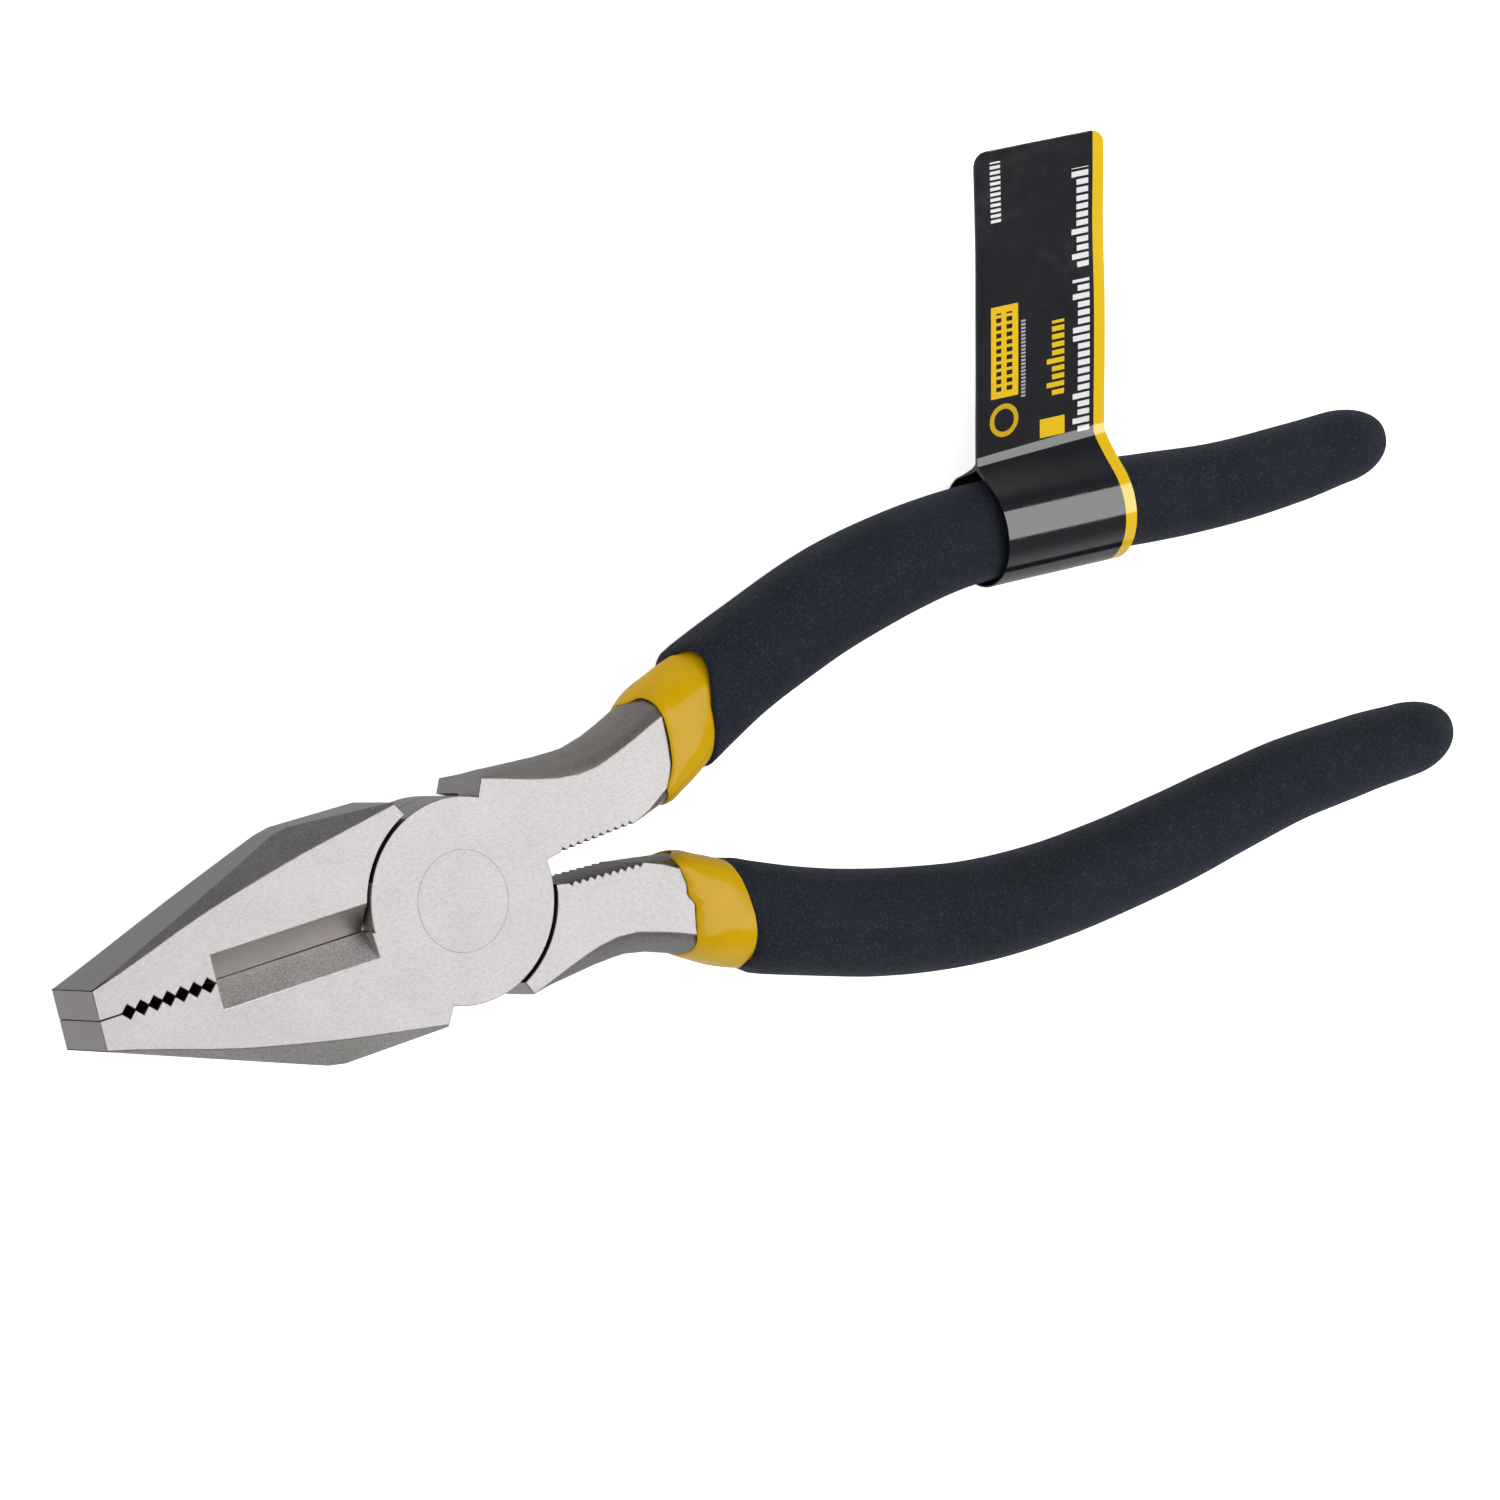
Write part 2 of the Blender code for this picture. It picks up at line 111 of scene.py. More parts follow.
# ---- steel ----------------------------------------------------------------------------------
WELD = 0.05 * MM
EDGE_ROUNDING = 0.09 * MM
SHORTEST_ROUNDED = 0.15 * MM
RIVET_RADIUS = 5.597 * MM
RIVET_ROUNDING = 0.035 * MM
RIVET_SIDES = 48                  # as many as the CAD's hole, and in step with it
SEAM_LOW, SEAM_HIGH = -0.32 * MM, -0.14 * MM  # between them lie the CAD's touching sides
SEAM_CLOSING = 0.2                # their distance from the middle, as a share of the CAD's
CUTTER_START_X = -31.0 * MM
CUTTER_END_X = -11.5 * MM
CUTTER_OVERRUN_X = -10.9 * MM     # just past where its groove runs out beside the boss
CUTTER_HALF_WIDTH = 3.05 * MM
CUTTER_SEAM = 0.3 * MM            # the CAD's cutting edge lies that far off the middle
KNIFE_HEIGHT = 2.6 * MM           # of both cutting edges, over mid thickness in the part's frame
CAD_KNIFE_LAND = 0.05 * MM        # the CAD's cutting edge is flat that far up and down
KNIFE_LAND = 0.75 * MM
BOSS_RADIUS = 11.35 * MM
BOSS_MARGIN = 0.2 * MM            # what lies no farther than that outside the boss's side belongs to it
RECESS_RADIUS = 12.0 * MM
JAW_ROOT_X = -4.2 * MM
SHOULDER_END_X = 6.5 * MM
LEVEL = 0.995                     # a level face's normal has more than this along Z
UPRIGHT = 0.2                     # and an upright face's less than this
# An edge is sharp where it bends by more than this: beside the ground faces, within the arm, elsewhere.
SHARP_GROUND, SHARP_ARM, SHARP = radians(14), radians(60), radians(33)
PIT_SIZE = 0.4 * MM
PIT_DISTANCES = (0.08, 0.26)      # from the middle of a pit to its rim, as shares of that size
# Painted shade in the pits: their tone is multiplied by this.
PIT_PAINTED_DARKENING = (0.7, 0.7, 0.7)
BARE_STEEL_BEFORE_DIP = 0.6 * MM  # where the CAD's arm ends, before the front edge of its dip coat

ARM_START_X = 17.0 * MM
ARM_FLATTENING = 0.45 * MM        # its rounded outer side stands out that much less near the collar
ARM_FLATTENED_X = 22.5 * MM       # from there on
ARM_OUTLINE_ROW = 40              # fewest vertices at one x that are the arm's whole outline
ARM_OUTLINE_END_X = 28.2 * MM
ARM_OUTLINE_LENGTHENING = 2.0 * MM
ARM_ROUND_STEPS = 40
ARM_EXTENSION = 1.6 * MM          # the arm goes on that far under the collar
EXTENSION_FULL_X = 29.5 * MM      # what lies in front of this moves by the whole of it
EXTENSION_NONE_X = 34.5 * MM      # what lies behind this doesn't move
TANG_SLOPE = 0.43                 # rise along Y for each step along X
ARM_END_SLOPES_MM = ((2.7, 0.21), (4.8, 0.61), (7.0, 0.42))  # the same for the arm's end, by y

# What steel_surface makes each finish from, together with the painted shade and the lit and shaded copies
# below.
ALONG_TOOL = (0.45, 1, 1)
STEEL_FINISHES = {
    "steel_ground": {
        "colour": (0.42, 0.4, 0.398), "rough": 0.48, "grain": 0.22 * MM, "depth": 0.004 * MM,
        "mottle": 0.1, "streak": ALONG_TOOL,
    },
    "steel_flank": {
        "colour": (0.56, 0.535, 0.525), "rough": 0.4, "grain": 0.22 * MM, "depth": 0.003 * MM,
        "mottle": 0.07, "streak": ALONG_TOOL,
    },
    "steel_forged": {
        "colour": (0.46, 0.445, 0.43), "rough": 0.44, "grain": 0.26 * MM, "depth": 0.016 * MM,
        "mottle": 0.24, "pits": 0.008 * MM,
    },
    # The two arms are one steel in lit and shaded copies: the rear arm is painted darker, as painted shade.
    "front_arm_painted_shading": {
        "colour": (0.52, 0.495, 0.472), "rough": 0.42, "grain": 0.26 * MM, "depth": 0.01 * MM,
        "mottle": 0.16, "pits": 0.005 * MM,
    },
    "rear_arm_painted_shading": {
        "colour": (0.33, 0.32, 0.31), "rough": 0.42, "grain": 0.26 * MM, "depth": 0.01 * MM,
        "mottle": 0.16, "pits": 0.005 * MM,
    },
    # The two cutter bevels are one steel in lit and shaded copies: the front one is painted lighter, as
    # painted light, the rear one darker, as painted shade.
    "front_cutter_painted_shading": {
        "colour": (0.82, 0.785, 0.775), "rough": 0.5, "grain": 0.22 * MM, "depth": 0.012 * MM,
        "mottle": 0.3,
    },
    "rear_cutter_painted_shading": {
        "colour": (0.36, 0.335, 0.315), "rough": 0.42, "grain": 0.22 * MM, "depth": 0.003 * MM,
        "mottle": 0.06, "streak": ALONG_TOOL,
    },
    # Painted shade: near-black steel for the walls of the teeth grooves, of the cutter's land and of the gaps
    # round the boss, where only shade falls.
    "steel_painted_shade": {
        "colour": (0.17, 0.163, 0.158), "rough": 0.5, "grain": 0.3 * MM, "depth": 0.01 * MM,
        "mottle": 0.1,
    },
    # Edge wear with a painted highlight: lighter steel on the rounding along the boss's faces.
    "steel_worn_and_painted_highlight": {
        "colour": (0.66, 0.64, 0.63), "rough": 0.38, "grain": 0.2 * MM, "depth": 0.003 * MM,
        "mottle": 0.04,
    },
}
STEEL_FINISHES["rivet_steel"] = STEEL_FINISHES["steel_ground"]

# ---- collars and grips ------------------------------------------------------------------------
AROUND = 96                       # points round a collar or grip section
# Front edges as (angle, x): 0 degrees is the outer side, 90 the upper face, 180 the inner side.
COLLAR_EDGE_MM = {
    "front": (
        (-180, 28.8), (-150, 28.2), (-110, 28.6), (-70, 28.6), (-40, 28.1), (-20, 28.0), (-5, 27.9),
        (3, 28.1), (15, 28.8), (36, 29.1), (60, 29.5), (90, 29.4), (112, 29.2), (121, 28.7), (130, 27.8),
        (150, 28.2), (180, 28.8),
    ),
    "rear": (
        (-180, 29.2), (-165, 28.8), (-145, 27.8), (-100, 27.4), (-50, 27.0), (-10, 26.9), (20, 27.0),
        (50, 27.1), (67, 27.4), (90, 27.8), (95, 27.75), (103, 27.15), (118, 27.35), (132, 27.0),
        (148, 27.0), (160, 27.8), (172, 28.8), (180, 29.2),
    ),
}
COLLAR_LIP_MM = (                 # (distance behind the front edge, height over the steel)
    (0.5, -0.3), (0.05, -0.12), (0.0, 0.04), (0.04, 0.14), (0.14, 0.21), (0.35, 0.28), (0.7, 0.36),
    (1.1, 0.42), (1.5, 0.45),
)
COLLAR_SECTION_MM = (             # (x, half width, half height)
    (27.4, 6.5, 5.2), (31.0, 6.5, 5.2), (33.8, 6.35, 5.0), (38.5, 5.6, 4.2),
)
COLLAR_OVAL_MM = (27.6, 31.2)     # between them the steel's outline turns into the oval section
COLLAR_ROUNDER = 1.2              # the outer side is rounder than the rest by this power
COLLAR_ROUNDER_MM = (28.0, 32.0)  # and turns so between these
COLLAR_RIPPLE_MM = 0.1
COLLAR_RIPPLES = 1.6              # the more, the shorter are the ripples
COLLAR_SEEDS = {"front": 3.1, "rear": 8.4}
COLLAR_STEPS = 14
COLLAR_END_MM = 38.3              # hidden inside the grip

GRIP_EDGE_MM = {
    "front": (
        (-180, 34.4), (-120, 34.7), (-60, 34.9), (-20, 34.8), (-6, 35.0), (5, 35.5), (15, 36.2),
        (28, 36.7), (48, 36.7), (65, 36.3), (90, 35.7), (120, 35.5), (150, 34.9), (180, 34.4),
    ),
    "rear": (
        (-180, 33.0), (-135, 34.2), (-90, 34.8), (-45, 34.4), (0, 33.5), (45, 34.4), (90, 34.8),
        (135, 34.2), (180, 33.0),
    ),
}
GRIP_LIP_MM = (                   # (distance behind the front edge, depth under the outer surface)
    (2.6, 0.8), (0.4, 0.78), (0.1, 0.66), (0.0, 0.48), (0.03, 0.3), (0.14, 0.15), (0.34, 0.05),
    (0.65, 0.0),
)
GRIP_RIPPLE_MM = 0.15
GRIP_RIPPLES = 1.3
GRIP_SEEDS = {"front": 5.7, "rear": 1.9}
GRIP_STEPS = 74
GRIP_ROUND_START_X = 127.5 * MM
GRIP_ROUND_STEP = 6               # degrees
GRIP_UNEVENNESS = 0.08 * MM
GRIP_LUMPS_ALONG = 130            # lumps in a metre
GRIP_LUMPS_AROUND = 0.8
GRIP_SINKING = 0.8                # the surface lies lower by that share of it, to stay inside the CAD
HANDLE_START_MM = ((25.0, 7.4), (27.5, 8.5), (31.0, 10.0))  # centre line (x, y) before the grip
SQUARENESS = ((27.5, 3.3), (32.0, 3.1), (45.0, 2.4), (134.5, 2.25))  # power of the oval, by x in mm

# ---- tag ----------------------------------------------------------------------------------------
TAG_HALF_WIDTH = 8.75 * MM
TAG_FILM = 0.16 * MM
TAG_FLAG_FILM = 0.34 * MM         # both leaves together
TAG_CORNER = 1.6 * MM
TAG_LOOP_RADIUS = 6.52 * MM
TAG_LEAF_ANGLE = radians(37.24)   # where the leaves leave the loop, up and down from the flag
TAG_FLAG_LENGTH = 35.5 * MM
TAG_FLAG_BOW = 0.2 * MM
TAG_FLAT_LENGTH = 9.0 * MM        # the flag waves fully only from there on
TAG_TWIST_STRIPE, TAG_TWIST_FAR = -0.3 * MM, 0.12 * MM  # at the striped edge and at the other one
TAG_TWIST_AT, TAG_TWIST_SPAN = 24.5 * MM, 6.0 * MM
TAG_CREASE_STRIPE, TAG_CREASE_FAR = -0.5 * MM, -1.6 * MM  # how far outwards the crease lies, at each
TAG_LOOP_STEPS = 72
TAG_LEAF_STEPS = 7
TAG_FLAG_STEPS = 36
TAG_EDGE_SPOTS_MM = (0.0, 0.12, 0.3, 0.6, 1.0)  # columns within a corner, from the film's edge
TAG_INNER_STEPS = 8
SWING_AT = Vector(JOINTS["tag_swing"]["pos_m"])
FOLD_AT = Vector(JOINTS["tag_fold"]["pos_m"])
FOLD_Y = (FOLD_AT - SWING_AT).length
MEET_Y = FOLD_Y + 0.9 * MM        # where the leaves part, just outside the fold
LEAF_Y = TAG_LOOP_RADIUS * cos(TAG_LEAF_ANGLE)
LEAF_Z = TAG_LOOP_RADIUS * sin(TAG_LEAF_ANGLE)
OUTER_LEAF = ((MEET_Y, TAG_FLAG_FILM / 2), (LEAF_Y, LEAF_Z), 1.25)  # start, end and power
INNER_LEAF = ((FOLD_Y - 0.25 * MM, 0.03 * MM), (LEAF_Y - 0.06 * MM, LEAF_Z - 0.13 * MM), 1.1)
UNPRINTED = -60 * MM              # a place along the print map where only the stripe runs


# ---- general helpers ------------------------------------------------------------------------------
def mix(a, b, t):
    return a + (b - a) * t


def ease(x, start, end):
    """0 up to start, 1 from end on, and smooth between."""
    t = min(max((x - start) / (end - start), 0.0), 1.0)
    return t * t * (3 - 2 * t)


def through(keys):
    """Return y(x), a smooth curve through (x, y) keys."""
    xs = [key[0] for key in keys]
    ys = [key[1] for key in keys]
    last = len(xs) - 1
    slopes = []
    for i in range(last + 1):
        before = max(i - 1, 0)
        after = min(i + 1, last)
        slopes.append((ys[after] - ys[before]) / (xs[after] - xs[before]))

    def value(x):
        x = min(max(x, xs[0]), xs[last])
        i = 0
        while i < last - 1 and x > xs[i + 1]:
            i += 1
        span = xs[i + 1] - xs[i]
        t = (x - xs[i]) / span
        return (
            (1 + 2 * t) * (1 - t) ** 2 * ys[i]
            + t * (1 - t) ** 2 * span * slopes[i]
            + t * t * (3 - 2 * t) * ys[i + 1]
            + t * t * (t - 1) * span * slopes[i + 1]
        )

    return value


def in_mm(keys):
    return [tuple(value * MM for value in key) for key in keys]


def new_piece(name, bm, materials, replaced, place):
    """Make an object from a bmesh, which place takes from its own frame to the part's."""
    bmesh.ops.recalc_face_normals(bm, faces=bm.faces)
    mesh = bpy.data.meshes.new(name)
    bm.to_mesh(mesh)
    bm.free()
    mesh.transform(place)
    for surface in materials:
        mesh.materials.append(surface)
    obj = bpy.data.objects.new(name, mesh)
    bpy.context.collection.objects.link(obj)
    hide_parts(*replaced)
    return obj


# ---- material helpers -----------------------------------------------------------------------------
class Surface:
    """A material with a Principled shader and short ways to add nodes."""

    def __init__(self, name):
        self.material = bpy.data.materials.new(name)
        self.material.use_nodes = True
        self.tree = self.material.node_tree
        self.shader = self.tree.nodes["Principled BSDF"]
        self.place = self.add("TexCoord").outputs["Object"]

    def add(self, kind, inputs=None, **settings):
        made = self.tree.nodes.new("ShaderNode" + kind)
        for name, value in settings.items():
            setattr(made, name, value)
        for key, value in (inputs or {}).items():
            self.feed(made.inputs[key], value)
        return made

    def feed(self, socket, value):
        if isinstance(value, bpy.types.NodeSocket):
            self.tree.links.new(value, socket)
        else:
            socket.default_value = value

    def set(self, **values):
        """Feed the shader's inputs, by short names or by their own names with _ for each space."""
        names = {"colour": "Base Color", "rough": "Roughness", "metal": "Metallic", "bump": "Normal"}
        for key, value in values.items():
            self.feed(self.shader.inputs[names.get(key, key.replace("_", " "))], value)

    def noise(self, size, detail=2.0, roughness=0.5, stretch=(1, 1, 1)):
        """Noise with lumps of that size in metres, about 0.5 on average."""
        where = self.place
        if stretch != (1, 1, 1):
            where = self.add("Mapping", {"Vector": where, "Scale": stretch}).outputs["Vector"]
        settings = {"Vector": where, "Scale": 1 / size, "Detail": detail, "Roughness": roughness}
        return self.add("TexNoise", settings).outputs["Fac"]

    def maths(self, operation, a, b=0.0):
        return self.add("Math", {0: a, 1: b}, operation=operation).outputs[0]

    def remap(self, value, low, high, to_low=0.0, to_high=1.0):
        settings = {"Value": value, "From Min": low, "From Max": high, "To Min": to_low, "To Max": to_high}
        return self.add("MapRange", settings).outputs["Result"]

    def spread(self, fac, low=0.0, high=1.0):
        """Noise, most of which lies between 0.3 and 0.7, spread from low to high."""
        return self.remap(fac, 0.3, 0.7, low, high)

    def blend(self, factor, a, b, mode="MIX"):
        """Colour a where factor is 0, b where it is 1."""
        made = self.add("Mix", data_type="RGBA", blend_type=mode)
        self.feed(made.inputs["Factor"], factor)
        self.feed(made.inputs["A"], a if isinstance(a, bpy.types.NodeSocket) else (*a, 1))
        self.feed(made.inputs["B"], b if isinstance(b, bpy.types.NodeSocket) else (*b, 1))
        return made.outputs["Result"]

    def bump(self, height, depth, under=None):
        """Bump of that depth in metres for a height of 0 to 1."""
        made = self.add("Bump", {"Height": height, "Distance": depth, "Strength": 1.0})
        if under:
            self.feed(made.inputs["Normal"], under)
        return made.outputs["Normal"]

    def between(self, value, low, high):
        """1 where value lies between low and high, else 0."""
        above = self.maths("GREATER_THAN", value, low)
        below = self.maths("LESS_THAN", value, high)
        return self.maths("MULTIPLY", above, below)


def shade(colour, factor):
    return tuple(channel * factor for channel in colour)


# ---- materials ------------------------------------------------------------------------------------
def steel_surface(name, colour, rough, grain, depth, mottle, streak=(1, 1, 1), pits=0.0):
    """Bare steel with grain of that size and depth in metres, which varies the tone by mottle.

    Forged steel also has pits of that depth, with painted shade in them.
    """
    surface = Surface(name)
    fine = surface.noise(grain, 3, 0.65, streak)
    speckle = surface.spread(fine, 1 - mottle, 1 + mottle)
    cloud = surface.spread(surface.noise(7 * MM, 3), 1 - 0.3 * mottle, 1 + 0.3 * mottle)
    value = surface.maths("MULTIPLY", cloud, speckle)
    grey = surface.add("CombineColor", {0: value, 1: value, 2: value}).outputs[0]
    tone = surface.blend(1.0, colour, grey, "MULTIPLY")
    relief = surface.bump(fine, depth)
    if pits:
        cells = surface.add("TexVoronoi", {"Vector": surface.place, "Scale": 1 / PIT_SIZE, "Randomness": 1.0})
        holes = surface.remap(cells.outputs["Distance"], *PIT_DISTANCES)
        # Painted shade: the pits are darker.
        dark = surface.blend(1.0, tone, PIT_PAINTED_DARKENING, "MULTIPLY")
        tone = surface.blend(holes, dark, tone)
        relief = surface.bump(holes, pits, relief)
    surface.set(
        colour=tone,
        metal=1.0,
        rough=surface.spread(surface.noise(0.5 * MM, 3), rough - 0.02, rough + 0.02),
        bump=relief,
    )
    return surface.material


def yellow_dip_surface():
    surface = Surface("yellow_dip")
    cloud = surface.noise(5 * MM, 3)
    tone = surface.blend(surface.spread(cloud), (0.5, 0.293, 0.0011), (0.555, 0.332, 0.0013))
    waves = surface.bump(surface.noise(3.2 * MM, 2), 0.03 * MM)
    surface.set(
        colour=tone,
        rough=surface.spread(surface.noise(0.6 * MM, 3), 0.13, 0.2),
        bump=surface.bump(surface.noise(0.35 * MM, 2), 0.0012 * MM, waves),
        IOR=1.45,
        Specular_IOR_Level=0.22,
        Subsurface_Weight=0.08,
        Subsurface_Scale=0.8 * MM,
    )
    return surface.material


def black_grip_surface():
    surface = Surface("black_grip")
    cloud = surface.noise(7 * MM, 4)
    fine = surface.noise(0.33 * MM, 3, 0.65)
    tone = surface.blend(surface.spread(cloud), (0.0052, 0.0066, 0.0124), (0.0082, 0.0102, 0.018))
    specks = surface.maths("MULTIPLY", surface.remap(fine, 0.52, 0.74), 0.6)
    surface.set(
        colour=surface.blend(specks, tone, (0.042, 0.05, 0.075)),
        rough=0.78,
        bump=surface.bump(fine, 0.17 * MM, surface.bump(surface.noise(2.2 * MM, 2), 0.06 * MM)),
        Specular_IOR_Level=0.3,
        Sheen_Weight=0.04,
        Sheen_Roughness=0.5,
        Sheen_Tint=(0.62, 0.75, 1.0, 1.0),
    )
    return surface.material


def tag_surface():
    """Glossy black film with a yellow stripe and plain printed bars.

    The print map gives each spot's distance across from the striped edge and along from the fold.
    """
    surface = Surface("tag_film")
    print_map = surface.add("UVMap", uv_map="print").outputs["UV"]
    split = surface.add("SeparateXYZ", {"Vector": print_map}).outputs
    across, along = split["X"], split["Y"]
    cloud = surface.noise(3 * MM, 3)
    tone = surface.blend(surface.spread(cloud), (0.0065, 0.0066, 0.0095), (0.0085, 0.0087, 0.0122))
    white, yellow, black = (0.74, 0.74, 0.76), (0.76, 0.48, 0.004), (0.008, 0.008, 0.01)

    def box(low, high, start, end):
        """A rectangle from low to high across the film and from start to end along it, in millimetres."""
        inside = surface.between(across, low * MM, high * MM)
        return surface.maths("MULTIPLY", inside, surface.between(along, start * MM, end * MM))

    def bars(low, high, start, end, pitch, share, uneven=0.0):
        """Bars along such a rectangle, some of them shorter by the uneven share of its width."""
        turn = surface.maths("DIVIDE", surface.maths("SUBTRACT", along, start * MM), pitch * MM)
        on = surface.maths("LESS_THAN", surface.maths("FRACT", turn), share)
        if uneven:
            draw = surface.add("TexWhiteNoise", {"W": surface.maths("FLOOR", turn)}, noise_dimensions="1D")
            shorter = surface.maths("GREATER_THAN", draw.outputs["Value"], 0.45)
            cut = surface.maths("MULTIPLY", shorter, (low - high) * uneven * MM)
            top = surface.maths("ADD", high * MM, cut)
            on = surface.maths("MULTIPLY", on, surface.maths("LESS_THAN", across, top))
        return surface.maths("MULTIPLY", on, box(low, high, start, end))

    def ring(across_mm, along_mm, inner, outer):
        du = surface.maths("SUBTRACT", across, across_mm * MM)
        dv = surface.maths("SUBTRACT", along, along_mm * MM)
        squares = surface.maths("ADD", surface.maths("MULTIPLY", du, du), surface.maths("MULTIPLY", dv, dv))
        return surface.between(surface.maths("SQRT", squares), inner * MM, outer * MM)

    prints = [
        (box(-1, 1.5, -200, 200), yellow),
        (bars(2.1, 4.4, 0.6, 18.6, 0.98, 0.66, 0.3), white),
        (bars(2.1, 4.4, 20.0, 31.6, 0.96, 0.66, 0.3), white),
        (box(5.5, 8.9, 0.8, 3.0), yellow),
        (bars(5.6, 8.0, 5.6, 14.4, 0.94, 0.64, 0.3), yellow),
        (bars(10.9, 11.5, 6.2, 15.4, 0.42, 0.6), shade(white, 0.5)),
        (box(11.9, 15.6, 6.6, 17.4), yellow),
        (bars(12.7, 13.5, 7.4, 16.6, 0.9, 0.6), black),
        (bars(14.2, 14.9, 7.4, 16.6, 0.9, 0.6), black),
        (bars(14.1, 15.5, 27.2, 34.2, 0.62, 0.58), white),
        (ring(13.8, 3.9, 1.35, 1.95), shade(yellow, 0.75)),
    ]
    for mask, ink in prints:
        tone = surface.blend(mask, tone, ink)
    surface.set(
        colour=tone,
        rough=surface.spread(surface.noise(1.5 * MM, 3), 0.07, 0.13),
        bump=surface.bump(surface.noise(6 * MM, 1, stretch=(0.6, 1, 1)), 0.015 * MM),
        IOR=1.75,
    )
    return surface.material


def film_inside_surface():
    surface = Surface("tag_film_inside")
    tone = surface.blend(surface.noise(2 * MM, 3), (0.014, 0.014, 0.017), (0.024, 0.024, 0.028))
    surface.set(colour=tone, rough=0.3, bump=surface.bump(surface.noise(4 * MM, 2), 0.03 * MM))
    return surface.material


def floor_surface():
    surface = Surface("pale_floor")
    surface.set(
        colour=surface.blend(surface.noise(0.4, 2), (0.86, 0.86, 0.86), (0.88, 0.88, 0.88)),
        rough=0.7,
        Specular_IOR_Level=0.2,
        Emission_Color=(1, 1, 1, 1),
        Emission_Strength=FLOOR_GLOW,
    )
    return surface.material


def backdrop_surface():
    surface = Surface("pale_backdrop")
    surface.set(colour=(0, 0, 0, 1), rough=1.0, Emission_Color=(0.9, 0.9, 0.9, 1), Emission_Strength=1.0)
    return surface.material


# ---- steel halves ---------------------------------------------------------------------------------
# Finishes and painted shade, in the order of a half's materials: the sixth is painted shade on walls in
# grooves and gaps, the seventh edge wear with a painted highlight.
GROUND, FLANK, FORGED, ARM, CUTTER, PAINTED_SHADE, WORN_AND_HIGHLIGHT = range(7)


def flattening(x):
    return ARM_FLATTENING * ease(x, ARM_START_X, ARM_FLATTENED_X)


def sharpen_cutter(point, side):
    """Where a vertex of the cutter's bevels goes, so that the halves nearly meet along a narrow land.

    The land starts at the cutting edge and goes down by KNIFE_LAND. Other vertices give None.
    """
    if not CUTTER_START_X - 2 * NEAR < point.x < CUTTER_OVERRUN_X:
        return None
    up = 1 if side == "front" else -1
    knife = up * KNIFE_HEIGHT
    seam = SEAM_CLOSING * CUTTER_SEAM
    for outwards in (1, -1):
        face = outwards * HALF_THICKNESS
        old_edge = knife + outwards * CAD_KNIFE_LAND
        new_edge = knife if outwards == up else knife - up * KNIFE_LAND
        if abs(point.z - old_edge) < CLOSE and -CUTTER_SEAM - CLOSE < point.y < 0:
            return Vector((point.x, -seam, new_edge))
        share = (point.z - old_edge) / (face - old_edge)
        on_bevel = abs(-point.y - mix(CUTTER_SEAM, CUTTER_HALF_WIDTH, share)) < CLOSE
        if 0 < share < 1 and on_bevel:
            return Vector((point.x, -mix(seam, CUTTER_HALF_WIDTH, share), mix(new_edge, face, share)))
    return None


def settle_steel(point, side, bare_end, arm):
    """Close the jaws' seam, sharpen the cutting edge, and flatten and lengthen the arm near its collar.

    The point is in the half's own frame.
    """
    sharpened = sharpen_cutter(point, side)
    if sharpened:
        return sharpened
    if point.x < CUTTER_END_X and SEAM_LOW < point.y < SEAM_HIGH:
        point.y *= SEAM_CLOSING
    if ARM_START_X < point.x < bare_end + NEAR:
        face_outer, mid_outer = arm[1](point.x), arm[3](point.x)
        point.y -= flattening(point.x) * max((point.y - face_outer) / (mid_outer - face_outer), 0)
    if bare_end - NEAR < point.x < EXTENSION_NONE_X:
        shift = ARM_EXTENSION * (1 - ease(point.x, EXTENSION_FULL_X, EXTENSION_NONE_X))
        slope = TANG_SLOPE
        if point.x < bare_end + NEAR:
            slope = np.interp(point.y / MM, *zip(*ARM_END_SLOPES_MM))
        point.x += shift
        point.y += slope * shift
    return point


def steel_zone(centre, normal, greatest_x):
    """Which material a face of a steel half gets: a finish, or painted shade on walls in grooves and gaps.
    All three are in the half's own frame.
    """
    x, y, z = centre
    up = abs(normal.z)
    if up > LEVEL:
        return GROUND if abs(abs(z) - HALF_THICKNESS) < 2 * CLOSE else FLANK
    if x < JAW_ROOT_X and y > -CUTTER_HALF_WIDTH - 0.3 * MM:
        if x < CUTTER_START_X - 0.2 * MM:
            # Walls between the teeth are painted shade.
            return FLANK if normal.x < -0.95 else PAINTED_SHADE
        bevel = abs(normal.y) > 0.5 and 0.25 < up < 0.9
        front_wall = normal.x > 0.9 and x < CUTTER_START_X + 0.2 * MM
        rear_wall = normal.x < -0.9 and x > CUTTER_END_X - 0.5 * MM
        # Other walls by the cutter are painted shade.
        return CUTTER if bevel or front_wall or rear_wall else PAINTED_SHADE
    if x < JAW_ROOT_X:
        return FORGED if up > UPRIGHT else FLANK
    radius = sqrt(x * x + y * y)
    if radius < RECESS_RADIUS and up < UPRIGHT:
        # Walls of the recess round the boss are painted shade.
        return FLANK if radius < BOSS_RADIUS + BOSS_MARGIN else PAINTED_SHADE
    return FLANK if greatest_x < SHOULDER_END_X and up < UPRIGHT else ARM


def sharp_angle(zones):
    """The bend from which an edge between these finishes is sharp."""
    if GROUND in zones:
        return SHARP_GROUND
    return SHARP_ARM if zones == {ARM} else SHARP


def is_rounded(edge, zones):
    """Whether a sharp edge with these finishes beside it gets a rounding."""
    if zones == {PAINTED_SHADE} or edge.calc_length() < SHORTEST_ROUNDED:
        return False
    middle = (edge.verts[0].co + edge.verts[1].co) / 2
    in_rivet_hole = sqrt(middle.x ** 2 + middle.y ** 2) < RIVET_RADIUS + 0.3 * MM
    in_cutter = CUTTER_START_X < middle.x < CUTTER_OVERRUN_X
    at_knife = abs(middle.y) < 0.15 * MM and abs(middle.z - MID_Z - KNIFE_HEIGHT) < 0.1 * MM
    return not in_rivet_hole and not (in_cutter and at_knife)


